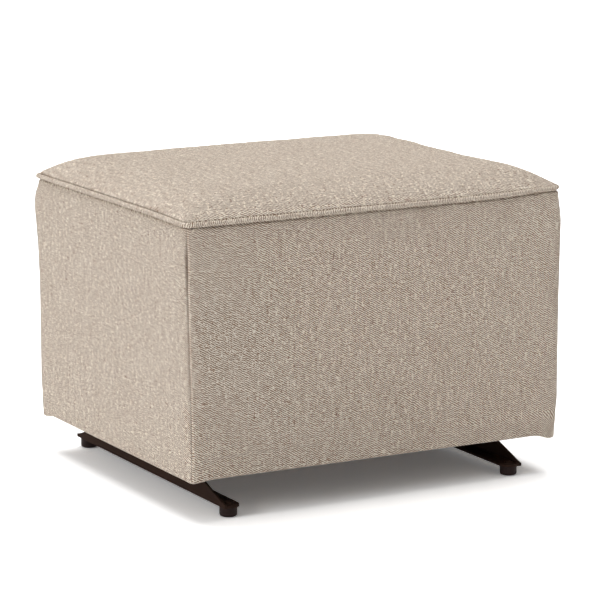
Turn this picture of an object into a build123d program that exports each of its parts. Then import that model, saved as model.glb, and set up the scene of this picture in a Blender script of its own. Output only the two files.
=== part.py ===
from build123d import *
from math import cos, radians, sin
import os

# Glider ottoman: an upholstered box that hangs on four swinging links from a low steel base.
# Millimetres. +X is right, +Y is back, +Z is up. The origin is on the floor, under the centre.

os.makedirs("parts", exist_ok=True)

# --- upholstered box ---
body_width = 572.0
body_depth = 470.0
hem_height = 56.0  # underside of the skirt above the floor
seam_height = 396.0  # underside of the welt cord
corner_radius = 8.0  # vertical corners, outside
cover_thickness = 2.0
wadding_thickness = 6.0
welt_diameter = 7.0
welt_proud = 1.5  # the cord's centre line stands outside the side cover's face
welt_seat_gap = 0.05  # sewn layers lie this far from the cord
hem_edge_setback = 2.0  # the folded hem stops this far short of the boards' inner faces
mitre_reach = 60.0  # how far in from the corners the covers are parted along mitre planes

# --- crown of the top cover: contour lines, each with its inset from the edge and its rise ---
crown_insets = (0.0, 8.0, 20.0, 40.0, 70.0, 110.0, 150.0)
crown_rises = (0.0, 8.5, 17.5, 25.0, 29.0, 31.0, 33.0)
crown_corner_slope = 0.35  # how fast the contour corners round off with the inset
crown_corner_limit = 0.45  # share of a contour's depth that its corner radius may take up

# --- wooden frame ---
board_thickness = 18.0
deck_thickness = 12.0
foam_edge_height = 46.0  # foam thickness at its edge, from the deck to the seam
corner_block_leg = 30.0
corner_block_inset = 42.0  # from the board's ends, above and below
end_board_screw_count = 4
side_board_screw_count = 3
end_board_screw_margin = 18.0  # from the side boards' inner faces to the outermost screw
side_board_screw_margin = 36.0  # the same, from the end boards' inner faces
deck_screw_length = 40.0
deck_screw_radius = 2.0
deck_screw_head_radius = 4.0
screw_hole_gap = 0.1
staple_length = 11.0
staple_width = 1.4
staple_thickness = 0.6
staple_pitch = 44.0

# --- floor rails and feet ---
rail_side_gap = 26.0  # between a side board and the rail inside it
rail_end_setback = 6.0  # the rails end this far inside the covers' front and back faces
rail_thickness = 3.0
flange_width = 27.0
rail_end_height = 4.5  # web height at its ends
rail_shoulder_height = 26.5  # web height where the slope turns steeper
rail_shoulder_setback = 67.0  # that point's distance from the rail's end
rail_middle_height = 58.5
rail_middle_setback = 89.0  # where the full height begins, from the rail's end
rail_tip_flat = 3.0
web_corner_radius = 10.0
foot_diameter = 24.0
foot_height = 13.5
foot_side_inset = 12.5  # from the rail's outer face to the foot's centre
foot_end_inset = 14.5  # from the rail's end to the foot's centre
foot_edge_radius = 3.0
flange_end_radius = 14.0
foot_rivet_radius = 3.0
foot_rivet_head_radius = 5.5
foot_rivet_head_height = 2.2
foot_rivet_head_edge = 1.8
foot_rivet_depth = 8.0  # how deep the rivet reaches into the foot
hole_gap = 0.25  # radial clearance of a bolt in its hole
thread_gap = 0.05  # radial clearance of a nut on its bolt

# --- cross tubes ---
tube_side = 25.0
tube_wall = 2.0
tube_corner_radius = 3.0
tube_gap = 7.5  # between an upright and the tube beyond it
tube_height = 43.0  # underside of the tubes above the floor

# --- glide mechanism ---
link_length = 130.0  # between the pivots
pivot_pitch = 170.0  # between the front and back pivots
pivot_below_deck = 38.0  # from the deck's underside down to the upper pivots
swing_limit = 24.0  # degrees each way
link_width = 32.0
link_thickness = 3.0
housing_wall = 2.5
bearing_outer_radius = 11.0
bearing_width = 7.0
race_thickness = 2.0
pin_radius = 4.0
running_fit = 0.05  # radial clearance of a pin in its bearing
open_pivot_gap = 0.2  # the same, at the three lower pivots where the linkage is opened
axial_gap = 0.2
press_gap = 0.02
ball_gap = 0.02
ball_count = 8
pin_head_radius = 8.0
pin_head_thickness = 4.5
nut_across_flats = 13.0
nut_thickness = 6.0
pin_end_length = 1.0  # bolt end that shows past its nut
spacer_outer_radius = 7.0

upright_width = 30.0
upright_flange = 20.0
upright_thickness = 3.0
upright_foot_gap = 21.5  # from the rail's flange up to the upright's lower end
upright_bolt_radius = 3.0
upright_bolt_heights = (30.0, 46.0)  # above the rail's underside
upright_bolt_head_radius = 5.5
upright_bolt_head_height = 3.5
upright_nut_thickness = 4.5
upright_nut_across_flats = 10.0

tie_thickness = 3.0
tie_above_pivot = 14.0
tie_below_pivot = 24.0
tie_corner_radius = 8.0
tie_end_gap = 0.5

stop_radius = 8.0
stop_reach = 24.0  # along the link, from the upper pivot to where it meets the stop
stop_clearance = 0.4
stop_stem_radius = 3.0
stop_cap_radius = 4.5
stop_cap_height = 3.0
stop_overlap = 1.5  # the stop is this much longer than the link plate's far face

carrier_thickness = 3.0
carrier_height = 60.0
carrier_overhang = 25.0  # beyond each lower pivot
carrier_drop = 25.0  # from the lower pivot down to the carrier's lower edge
carrier_corner_radius = 6.0
carrier_screw_radius = 2.5
carrier_screw_head_radius = 5.0
carrier_screw_head_height = 2.4
carrier_screw_length = 15.0
carrier_screw_inset = 12.0

# --- sizes that follow from those above ---
half_width = body_width / 2
half_depth = body_depth / 2
board_outer_x = half_width - cover_thickness - wadding_thickness
board_outer_y = half_depth - cover_thickness - wadding_thickness
board_inner_x = board_outer_x - board_thickness
board_inner_y = board_outer_y - board_thickness
board_bottom = hem_height + cover_thickness
deck_top = seam_height - foam_edge_height
board_top = deck_top - deck_thickness
inner_half_width = half_width - cover_thickness
inner_half_depth = half_depth - cover_thickness

rail_outer_x = board_inner_x - rail_side_gap
rail_inner_x = rail_outer_x - rail_thickness
rail_bottom = foot_height
rail_end_y = half_depth - rail_end_setback
rail_shoulder_y = rail_end_y - rail_shoulder_setback
rail_middle_y = rail_end_y - rail_middle_setback
foot_x = rail_outer_x - foot_side_inset
foot_y = rail_end_y - foot_end_inset

pivot_y = pivot_pitch / 2
upper_pivot_height = board_top - pivot_below_deck
lower_pivot_height = upper_pivot_height - link_length
carrier_inner_x = board_inner_x - carrier_thickness
upright_outer_x = rail_inner_x
upright_inner_x = upright_outer_x - upright_thickness
tie_inner_x = upright_inner_x - tie_thickness
link_centre_x = (carrier_inner_x + upright_outer_x) / 2
bearing_inner_x = link_centre_x - bearing_width / 2
bearing_outer_x = link_centre_x + bearing_width / 2
upright_bottom = rail_bottom + rail_thickness + upright_foot_gap
upright_top = upper_pivot_height + upright_width / 2
upright_edge_y = pivot_y + upright_width / 2
tube_y = upright_edge_y + tube_gap + tube_side / 2
carrier_length = pivot_pitch + 2 * carrier_overhang
crown_edge_height = seam_height + welt_diameter
crown_height = crown_edge_height + crown_rises[-1]


def save(part, name):
    """Label a finished piece and write it to its own file."""
    part.label = name
    export_step(part, f"parts/{name}.step")


def side_plane(x):
    """A plane across the width at x, with its own x along +Y and its own y along +Z."""
    return Plane(origin=(x, 0, 0), x_dir=(0, 1, 0), z_dir=(1, 0, 0))


def nut_radius(across_flats):
    """Corner radius of a hexagon nut."""
    return across_flats / 2 / cos(radians(30))


# ------------------------------------------------------------------ feet and floor rails
foot_places = GridLocations(2 * foot_x, 2 * foot_y, 2, 2).locations
upwards = (Align.CENTER, Align.CENTER, Align.MIN)

with BuildPart() as feet:
    with Locations(*foot_places):
        Cylinder(foot_diameter / 2, foot_height, align=upwards)
    fillet(feet.edges().filter_by(GeomType.CIRCLE).group_by(Axis.Z)[0], foot_edge_radius)
    with Locations(Plane.XY.offset(foot_height)):
        with Locations(*foot_places):
            Hole(foot_rivet_radius + press_gap, foot_rivet_depth)
save(feet.part, "foot_glides")

rivet_shank_bottom = rail_bottom - foot_rivet_depth
rivet_shank_length = foot_rivet_depth + rail_thickness
with BuildPart() as foot_rivets:
    with Locations(Plane.XY.offset(rivet_shank_bottom)):
        with Locations(*foot_places):
            Cylinder(foot_rivet_radius, rivet_shank_length, align=upwards)
    with Locations(Plane.XY.offset(rivet_shank_bottom + rivet_shank_length)):
        with Locations(*foot_places):
            Cylinder(foot_rivet_head_radius, foot_rivet_head_height, align=upwards)
    head_rims = foot_rivets.edges().filter_by(GeomType.CIRCLE).group_by(Axis.Z)[-1]
    fillet(head_rims, foot_rivet_head_edge)
save(foot_rivets.part, "foot_rivets")


def floor_rail(side):
    """One L-section rail: an upright web with sloping ends and a flange turned inwards."""
    web_inner_x = min(side * rail_outer_x, side * rail_inner_x)
    with BuildPart() as rail:
        with BuildSketch(side_plane(web_inner_x)):
            with BuildLine():
                outline = Polyline(
                    (0, rail_bottom),
                    (rail_end_y, rail_bottom),
                    (rail_end_y, rail_bottom + rail_end_height),
                    (rail_end_y - rail_tip_flat, rail_bottom + rail_end_height),
                    (rail_shoulder_y, rail_bottom + rail_shoulder_height),
                    (rail_middle_y, rail_bottom + rail_middle_height),
                    (0, rail_bottom + rail_middle_height),
                )
                mirror(outline, about=Plane.YZ)
            web_face = make_face()
            bends = web_face.vertices().filter_by(
                lambda v: v.Z > rail_bottom + rail_end_height * 2
            )
            fillet(bends, web_corner_radius)
        extrude(amount=rail_thickness)
        with BuildSketch(Plane.XY.offset(rail_bottom)):
            with Locations((side * (rail_outer_x - flange_width / 2), 0)):
                flange = Rectangle(flange_width, 2 * rail_end_y)
            inner_corners = flange.vertices().group_by(Axis.X)[-1 if side < 0 else 0]
            fillet(inner_corners, flange_end_radius)
        extrude(amount=rail_thickness)
        with Locations(Plane.XY.offset(rail_bottom + rail_thickness)):
            with Locations((side * foot_x, -foot_y), (side * foot_x, foot_y)):
                Hole(foot_rivet_radius + hole_gap, rail_thickness)
        for height in upright_bolt_heights:
            with Locations(side_plane(web_inner_x + rail_thickness)):
                with Locations((-pivot_y, rail_bottom + height), (pivot_y, rail_bottom + height)):
                    Hole(upright_bolt_radius + hole_gap, rail_thickness)
    return rail.part


# ------------------------------------------------------------------ cross tubes
tube_length = 2 * rail_inner_x
with BuildPart() as cross_tubes:
    for y in (-tube_y, tube_y):
        tube_centre = (-rail_inner_x, y, tube_height + tube_side / 2)
        with BuildSketch(Plane(origin=tube_centre, x_dir=(0, 1, 0), z_dir=(1, 0, 0))):
            RectangleRounded(tube_side, tube_side, tube_corner_radius)
            RectangleRounded(
                tube_side - 2 * tube_wall,
                tube_side - 2 * tube_wall,
                tube_corner_radius - tube_wall,
                mode=Mode.SUBTRACT,
            )
        extrude(amount=tube_length)
save(cross_tubes.part, "cross_tubes")


# ------------------------------------------------------------------ uprights and tie bars
def upright(side, end):
    """An angle-steel post: its web carries the upper pivot, its flange faces inwards."""
    web_low_x = min(side * upright_outer_x, side * upright_inner_x)
    flange_outer = side * upright_inner_x
    with BuildPart() as post:
        with BuildSketch(side_plane(web_low_x)):
            with Locations((end * pivot_y, (upright_bottom + upright_top) / 2)):
                Rectangle(upright_width, upright_top - upright_bottom)
        extrude(amount=upright_thickness)
        with BuildSketch(Plane.XY.offset(upright_bottom)):
            flange_centre_x = flange_outer - side * upright_flange / 2
            flange_centre_y = end * (upright_edge_y - upright_thickness / 2)
            with Locations((flange_centre_x, flange_centre_y)):
                Rectangle(upright_flange, upright_thickness)
        extrude(amount=upright_top - upright_bottom)
        with Locations(side_plane(web_low_x + upright_thickness)):
            with Locations((end * pivot_y, upper_pivot_height)):
                Hole(pin_radius + hole_gap, upright_thickness)
            for height in upright_bolt_heights:
                with Locations((end * pivot_y, rail_bottom + height)):
                    Hole(upright_bolt_radius + hole_gap, upright_thickness)
    return post.part


# a link's edge meets its stop when it has swung to its limit
swing = radians(swing_limit)
stop_offset = link_width / 2 + stop_radius + stop_clearance
stop_dy = stop_reach * sin(swing) + stop_offset * cos(swing)
stop_dz = -stop_reach * cos(swing) + stop_offset * sin(swing)
stop_places = [
    (-pivot_y + stop_dy, upper_pivot_height + stop_dz),
    (pivot_y - stop_dy, upper_pivot_height + stop_dz),
]
pivot_places = [(-pivot_y, upper_pivot_height), (pivot_y, upper_pivot_height)]
lower_pivot_places = [(-pivot_y, lower_pivot_height), (pivot_y, lower_pivot_height)]


def tie_bar(side):
    """A flat bar that joins the two upright tops and carries the travel stops."""
    bar_low_x = min(side * upright_inner_x, side * tie_inner_x)
    bar_half_length = upright_edge_y - upright_thickness - tie_end_gap
    bar_centre_z = upper_pivot_height + (tie_above_pivot - tie_below_pivot) / 2
    with BuildPart() as bar:
        with BuildSketch(side_plane(bar_low_x)):
            with Locations((0, bar_centre_z)):
                RectangleRounded(
                    2 * bar_half_length, tie_above_pivot + tie_below_pivot, tie_corner_radius
                )
        extrude(amount=tie_thickness)
        with Locations(side_plane(bar_low_x + tie_thickness)):
            with Locations(*pivot_places):
                Hole(pin_radius + hole_gap, tie_thickness)
            with Locations(*stop_places):
                Hole(stop_stem_radius + press_gap, tie_thickness)
    return bar.part


# ------------------------------------------------------------------ fasteners
def across(side, x_from, x_to, radius, places):
    """Round bars along X at the given (y, z) places, between two distances from the middle."""
    low_x = min(side * x_from, side * x_to)
    with BuildSketch(side_plane(low_x)) as profile:
        with Locations(*places):
            Circle(radius)
    extrude(profile.sketch, amount=abs(x_to - x_from))


def rings(side, x_from, x_to, outer_radius, inner_radius, places):
    """The same, as rings."""
    low_x = min(side * x_from, side * x_to)
    with BuildSketch(side_plane(low_x)) as profile:
        with Locations(*places):
            Circle(outer_radius)
            Circle(inner_radius, mode=Mode.SUBTRACT)
    extrude(profile.sketch, amount=abs(x_to - x_from))


def hexagon_nuts(side, x_from, x_to, across_flats, bore_radius, places):
    """The same, as hexagon nuts."""
    low_x = min(side * x_from, side * x_to)
    with BuildSketch(side_plane(low_x)) as profile:
        with Locations(*places):
            RegularPolygon(nut_radius(across_flats), 6)
            Circle(bore_radius, mode=Mode.SUBTRACT)
    extrude(profile.sketch, amount=abs(x_to - x_from))


upright_bolt_places = [
    (end * pivot_y, rail_bottom + height) for end in (-1, 1) for height in upright_bolt_heights
]
upright_nut_inner_x = upright_inner_x - upright_nut_thickness
with BuildPart() as upright_bolts:
    for side in (-1, 1):
        bolt_end_x = upright_nut_inner_x - pin_end_length
        head_x = rail_outer_x + upright_bolt_head_height
        across(side, bolt_end_x, rail_outer_x, upright_bolt_radius, upright_bolt_places)
        across(side, rail_outer_x, head_x, upright_bolt_head_radius, upright_bolt_places)
save(upright_bolts.part, "upright_bolts")

with BuildPart() as upright_nuts:
    for side in (-1, 1):
        hexagon_nuts(
            side,
            upright_nut_inner_x,
            upright_inner_x,
            upright_nut_across_flats,
            upright_bolt_radius + thread_gap,
            upright_bolt_places,
        )
save(upright_nuts.part, "upright_nuts")

with BuildPart() as upper_pivot_bolts:
    for side in (-1, 1):
        bolt_end_x = tie_inner_x - nut_thickness - pin_end_length
        head_x = bearing_outer_x + axial_gap
        across(side, bolt_end_x, head_x, pin_radius, pivot_places)
        across(side, head_x, head_x + pin_head_thickness, pin_head_radius, pivot_places)
save(upper_pivot_bolts.part, "upper_pivot_bolts")

with BuildPart() as upper_pivot_nuts:
    for side in (-1, 1):
        hexagon_nuts(
            side,
            tie_inner_x - nut_thickness,
            tie_inner_x,
            nut_across_flats,
            pin_radius + thread_gap,
            pivot_places,
        )
save(upper_pivot_nuts.part, "upper_pivot_nuts")

with BuildPart() as upper_spacers:
    for side in (-1, 1):
        rings(
            side,
            upright_outer_x,
            bearing_inner_x - axial_gap,
            spacer_outer_radius,
            pin_radius + hole_gap,
            pivot_places,
        )
save(upper_spacers.part, "upper_pivot_spacers")

with BuildPart() as lower_spacers:
    for side in (-1, 1):
        rings(
            side,
            bearing_outer_x + axial_gap,
            carrier_inner_x,
            spacer_outer_radius,
            pin_radius + hole_gap,
            lower_pivot_places,
        )
save(lower_spacers.part, "lower_pivot_spacers")

lower_nut_outer_x = bearing_inner_x - axial_gap
with BuildPart() as lower_pivot_nuts:
    for side in (-1, 1):
        hexagon_nuts(
            side,
            lower_nut_outer_x - nut_thickness,
            lower_nut_outer_x,
            nut_across_flats,
            pin_radius + thread_gap,
            lower_pivot_places,
        )
save(lower_pivot_nuts.part, "lower_pivot_nuts")

with BuildPart() as travel_stops:
    for side in (-1, 1):
        stop_end_x = link_centre_x + link_thickness / 2 + stop_overlap
        across(side, upright_inner_x, stop_end_x, stop_radius, stop_places)
        across(side, tie_inner_x, upright_inner_x, stop_stem_radius, stop_places)
        across(side, tie_inner_x - stop_cap_height, tie_inner_x, stop_cap_radius, stop_places)
save(travel_stops.part, "travel_stops")


# ------------------------------------------------------------------ swing links
def link_arm(side, end):
    """A pressed steel arm with a bearing housing at each pivot."""
    arm_low_x = side * link_centre_x - link_thickness / 2
    housing_low_x = side * link_centre_x - bearing_width / 2
    housing_places = [
        (end * pivot_y, upper_pivot_height),
        (end * pivot_y, lower_pivot_height),
    ]
    with BuildPart() as arm:
        with BuildSketch(side_plane(arm_low_x)):
            with Locations((end * pivot_y, (upper_pivot_height + lower_pivot_height) / 2)):
                SlotCenterToCenter(link_length, link_width, rotation=90)
        extrude(amount=link_thickness)
        with BuildSketch(side_plane(housing_low_x)):
            with Locations(*housing_places):
                Circle(bearing_outer_radius + housing_wall)
        extrude(amount=bearing_width)
        with Locations(side_plane(housing_low_x + bearing_width)):
            with Locations(*housing_places):
                Hole(bearing_outer_radius + press_gap, bearing_width)
    return arm.part


def link_bearings(side, end, lower_bore_gap):
    """Two ball bearings: plain races with balls between them."""
    race_low_x = side * link_centre_x - bearing_width / 2
    inner_race_radius = pin_radius + running_fit + race_thickness
    outer_race_radius = bearing_outer_radius - race_thickness
    ball_pitch_radius = (inner_race_radius + outer_race_radius) / 2
    ball_radius = (outer_race_radius - inner_race_radius) / 2 - ball_gap
    pivots = [
        (end * pivot_y, upper_pivot_height, running_fit),
        (end * pivot_y, lower_pivot_height, lower_bore_gap),
    ]
    with BuildPart() as bearings:
        for y, z, bore_gap in pivots:
            with BuildSketch(side_plane(race_low_x)):
                with Locations((y, z)):
                    Circle(bearing_outer_radius)
                    Circle(outer_race_radius, mode=Mode.SUBTRACT)
                    Circle(inner_race_radius)
                    Circle(pin_radius + bore_gap, mode=Mode.SUBTRACT)
            extrude(amount=bearing_width)
            with Locations(side_plane(side * link_centre_x)):
                with Locations((y, z)):
                    with PolarLocations(ball_pitch_radius, ball_count):
                        Sphere(ball_radius)
    return bearings.part


# ------------------------------------------------------------------ carriers
carrier_centre_z = lower_pivot_height - carrier_drop + carrier_height / 2
carrier_screw_dy = carrier_length / 2 - carrier_screw_inset
carrier_screw_dz = carrier_height / 2 - carrier_screw_inset
carrier_screw_places = [
    (y, carrier_centre_z + z)
    for y in (-carrier_screw_dy, 0, carrier_screw_dy)
    for z in (-carrier_screw_dz, carrier_screw_dz)
]


def carrier(side):
    """A steel plate on the side board's inner face, with two pivot studs welded to it."""
    plate_low_x = min(side * board_inner_x, side * carrier_inner_x)
    stud_end_x = lower_nut_outer_x - nut_thickness - pin_end_length
    with BuildPart() as plate:
        with BuildSketch(side_plane(plate_low_x)):
            with Locations((0, carrier_centre_z)):
                RectangleRounded(carrier_length, carrier_height, carrier_corner_radius)
        extrude(amount=carrier_thickness)
        across(side, stud_end_x, carrier_inner_x, pin_radius, lower_pivot_places)
        with Locations(side_plane(plate_low_x + carrier_thickness)):
            with Locations(*carrier_screw_places):
                Hole(carrier_screw_radius + screw_hole_gap, carrier_thickness)
    return plate.part


with BuildPart() as carrier_screws:
    for side in (-1, 1):
        screw_end_x = carrier_inner_x + carrier_screw_length
        head_x = carrier_inner_x - carrier_screw_head_height
        across(side, carrier_inner_x, screw_end_x, carrier_screw_radius, carrier_screw_places)
        across(side, head_x, carrier_inner_x, carrier_screw_head_radius, carrier_screw_places)
save(carrier_screws.part, "carrier_screws")


# ------------------------------------------------------------------ wooden frame
board_height = board_top - board_bottom
deck_screw_places = [
    (x, y)
    for y in (-(board_outer_y + board_inner_y) / 2, (board_outer_y + board_inner_y) / 2)
    for x in [
        (2 * k / (end_board_screw_count - 1) - 1) * (board_inner_x - end_board_screw_margin)
        for k in range(end_board_screw_count)
    ]
] + [
    (x, y)
    for x in (-(board_outer_x + board_inner_x) / 2, (board_outer_x + board_inner_x) / 2)
    for y in [
        (2 * k / (side_board_screw_count - 1) - 1) * (board_inner_y - side_board_screw_margin)
        for k in range(side_board_screw_count)
    ]
]
deck_screw_board_depth = deck_screw_length - deck_thickness + board_thickness / 2


def pilot_holes(low_x, high_x, low_y, high_y):
    """Holes in a board's top edge for the deck screws that land on it."""
    own = [p for p in deck_screw_places if low_x < p[0] < high_x and low_y < p[1] < high_y]
    with Locations(Plane.XY.offset(board_top)):
        with Locations(*own):
            Hole(deck_screw_radius + screw_hole_gap, deck_screw_board_depth)


def end_board(end):
    """The front or back board, across the full width of the frame."""
    low_y = min(end * board_inner_y, end * board_outer_y)
    with BuildPart() as board:
        with BuildSketch(Plane.XY.offset(board_bottom)):
            with Locations((0, low_y + board_thickness / 2)):
                Rectangle(2 * board_outer_x, board_thickness)
        extrude(amount=board_height)
        pilot_holes(-board_outer_x, board_outer_x, low_y, low_y + board_thickness)
    return board.part


def side_board(side):
    """The left or right board, between the front and back boards."""
    low_x = min(side * board_inner_x, side * board_outer_x)
    with BuildPart() as board:
        with BuildSketch(Plane.XY.offset(board_bottom)):
            with Locations((low_x + board_thickness / 2, 0)):
                Rectangle(board_thickness, 2 * board_inner_y)
        extrude(amount=board_height)
        pilot_holes(low_x, low_x + board_thickness, -board_inner_y, board_inner_y)
        inner_face = Plane(origin=(side * board_inner_x, 0, 0), x_dir=(0, 1, 0), z_dir=(-side, 0, 0))
        with Locations(inner_face):
            with Locations(*[(y, -side * z) for y, z in carrier_screw_places]):
                Hole(carrier_screw_radius + screw_hole_gap, carrier_screw_length)
    return board.part


with BuildPart() as corner_blocks:
    with BuildSketch(Plane.XY.offset(board_bottom + corner_block_inset)):
        with BuildLine():
            Polyline(
                (board_inner_x, board_inner_y),
                (board_inner_x - corner_block_leg, board_inner_y),
                (board_inner_x, board_inner_y - corner_block_leg),
                close=True,
            )
        make_face()
        mirror(about=Plane.XZ)
        mirror(about=Plane.YZ)
    extrude(amount=board_height - 2 * corner_block_inset)
save(corner_blocks.part, "corner_blocks")

with BuildPart() as deck:
    with BuildSketch(Plane.XY.offset(board_top)):
        Rectangle(2 * board_outer_x, 2 * board_outer_y)
    extrude(amount=deck_thickness)
    with Locations(Plane.XY.offset(deck_top)):
        with Locations(*deck_screw_places):
            CounterSinkHole(
                deck_screw_radius + screw_hole_gap, deck_screw_head_radius + screw_hole_gap
            )
save(deck.part, "deck_board")

with BuildPart() as deck_screws:
    with BuildSketch(Plane.XZ):
        with BuildLine():
            head_depth = deck_screw_head_radius - deck_screw_radius
            Polyline(
                (0, deck_top),
                (deck_screw_head_radius, deck_top),
                (deck_screw_radius, deck_top - head_depth),
                (deck_screw_radius, deck_top - deck_screw_length + deck_screw_radius),
                (0, deck_top - deck_screw_length),
                close=True,
            )
        make_face()
    deck_screw = revolve(axis=Axis.Z, mode=Mode.PRIVATE)
    with Locations(*deck_screw_places):
        add(deck_screw)
save(deck_screws.part, "deck_screws")


# ------------------------------------------------------------------ side wadding and covers
def mitre_wedge(axis_name, sign):
    """The corner-to-corner wedge of one side, seen from above."""
    wide_x, wide_y = half_width + welt_diameter, half_depth + welt_diameter
    near_x, near_y = half_width - mitre_reach, half_depth - mitre_reach
    if axis_name == "y":
        return [
            (-wide_x, sign * wide_y),
            (wide_x, sign * wide_y),
            (near_x, sign * near_y),
            (-near_x, sign * near_y),
        ]
    return [
        (sign * wide_x, -wide_y),
        (sign * wide_x, wide_y),
        (sign * near_x, near_y),
        (sign * near_x, -near_y),
    ]


def keep_wedge(axis_name, sign):
    """Keep only what lies inside one side's wedge."""
    with BuildSketch(Plane.XY) as wedge:
        with BuildLine():
            Polyline(*mitre_wedge(axis_name, sign), close=True)
        make_face()
    extrude(wedge.sketch, amount=crown_height, mode=Mode.INTERSECT)


def side_cover(axis_name, sign):
    """One side of the skirt, with its hem folded under the frame."""
    with BuildPart() as cover:
        with BuildSketch(Plane.XY.offset(hem_height)):
            RectangleRounded(body_width, body_depth, corner_radius)
            RectangleRounded(
                2 * inner_half_width,
                2 * inner_half_depth,
                corner_radius - cover_thickness,
                mode=Mode.SUBTRACT,
            )
        extrude(amount=seam_height - hem_height)
        with BuildSketch(Plane.XY.offset(hem_height)):
            RectangleRounded(body_width, body_depth, corner_radius)
            Rectangle(
                2 * (board_inner_x + hem_edge_setback),
                2 * (board_inner_y + hem_edge_setback),
                mode=Mode.SUBTRACT,
            )
        extrude(amount=cover_thickness)
        keep_wedge(axis_name, sign)
    return cover.part


def side_wadding(axis_name, sign):
    """One sheet of wadding between a frame board and its cover."""
    with BuildPart() as sheet:
        with BuildSketch(Plane.XY.offset(board_bottom)):
            RectangleRounded(
                2 * inner_half_width, 2 * inner_half_depth, corner_radius - cover_thickness
            )
            Rectangle(2 * board_outer_x, 2 * board_outer_y, mode=Mode.SUBTRACT)
        extrude(amount=deck_top - board_bottom)
        keep_wedge(axis_name, sign)
    return sheet.part


# ------------------------------------------------------------------ top
def crown_loft(shrink, lower):
    """The crowned form of the top, shrunk sideways and lowered by a layer's thickness."""
    contours = []
    for inset, rise in zip(crown_insets, crown_rises):
        contour_width = body_width - 2 * (inset + shrink)
        contour_depth = body_depth - 2 * (inset + shrink)
        corner = corner_radius - shrink + inset * crown_corner_slope
        corner = min(corner, crown_corner_limit * contour_depth)
        with BuildSketch(Plane.XY.offset(crown_edge_height + rise - lower)) as contour:
            RectangleRounded(contour_width, contour_depth, corner)
        contours.append(contour.sketch)
    loft(contours)


with BuildPart() as foam:
    crown_loft(cover_thickness, cover_thickness)
    with BuildSketch(Plane.XY.offset(deck_top)):
        RectangleRounded(
            2 * inner_half_width, 2 * inner_half_depth, corner_radius - cover_thickness
        )
    extrude(amount=crown_edge_height - cover_thickness - deck_top)
save(foam.part, "foam_pad")

with BuildPart() as foam_form:
    crown_loft(cover_thickness, cover_thickness)

with BuildPart() as top_cover:
    crown_loft(0, 0)
    add(foam_form.part, mode=Mode.SUBTRACT)
save(top_cover.part, "cover_top")

with BuildPart() as welt:
    welt_x = half_width + welt_proud
    welt_y = half_depth + welt_proud
    welt_z = seam_height + welt_diameter / 2
    welt_bend = corner_radius + welt_proud
    with BuildLine(Plane.XY.offset(welt_z)) as welt_path:
        Line((welt_x, 0), (welt_x, welt_y - welt_bend))
        CenterArc((welt_x - welt_bend, welt_y - welt_bend), welt_bend, 0, 90)
        Line((welt_x - welt_bend, welt_y), (welt_bend - welt_x, welt_y))
        CenterArc((welt_bend - welt_x, welt_y - welt_bend), welt_bend, 90, 90)
        Line((-welt_x, welt_y - welt_bend), (-welt_x, welt_bend - welt_y))
        CenterArc((welt_bend - welt_x, welt_bend - welt_y), welt_bend, 180, 90)
        Line((welt_bend - welt_x, -welt_y), (welt_x - welt_bend, -welt_y))
        CenterArc((welt_x - welt_bend, welt_bend - welt_y), welt_bend, 270, 90)
        Line((welt_x, welt_bend - welt_y), (welt_x, 0))
    with BuildSketch(Plane(origin=(welt_x, 0, welt_z), x_dir=(1, 0, 0), z_dir=(0, 1, 0))):
        Circle(welt_diameter / 2 - welt_seat_gap)
    sweep(path=welt_path.wire())
save(welt.part, "welt_cord")

with BuildPart() as staples:
    staple_row_x = (board_inner_x + board_outer_x) / 2
    staple_row_y = (board_inner_y + board_outer_y) / 2
    count_x = int(2 * (board_inner_x - staple_length) / staple_pitch)
    count_y = int(2 * (board_inner_y - staple_length) / staple_pitch)
    with BuildSketch(Plane.XY.offset(hem_height - staple_thickness)):
        for y in (-staple_row_y, staple_row_y):
            with Locations((0, y)):
                with GridLocations(staple_pitch, 1, count_x, 1):
                    Rectangle(staple_length, staple_width)
        for x in (-staple_row_x, staple_row_x):
            with Locations((x, 0)):
                with GridLocations(1, staple_pitch, 1, count_y):
                    Rectangle(staple_width, staple_length)
    extrude(amount=staple_thickness)
save(staples.part, "hem_staples")


# ------------------------------------------------------------------ left and right, front and back
side_names = {-1: "left", 1: "right"}
end_names = {-1: "front", 1: "back"}

for side, side_name in side_names.items():
    save(floor_rail(side), f"floor_rail_{side_name}")
    save(tie_bar(side), f"tie_bar_{side_name}")
    save(carrier(side), f"carrier_{side_name}")
    save(side_board(side), f"frame_board_{side_name}")
    save(side_cover("x", side), f"cover_{side_name}")
    save(side_wadding("x", side), f"wadding_{side_name}")
    for end, end_name in end_names.items():
        is_hinge_chain = side == -1 and end == -1
        lower_gap = running_fit if is_hinge_chain else open_pivot_gap
        save(upright(side, end), f"upright_{end_name}_{side_name}")
        save(link_arm(side, end), f"link_arm_{end_name}_{side_name}")
        save(link_bearings(side, end, lower_gap), f"link_bearings_{end_name}_{side_name}")

for end, end_name in end_names.items():
    save(end_board(end), f"frame_board_{end_name}")
    save(side_cover("y", end), f"cover_{end_name}")
    save(side_wadding("y", end), f"wadding_{end_name}")
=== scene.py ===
"""Upholstery, finishes and studio for a glider ottoman, built on its CAD frame."""

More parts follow.
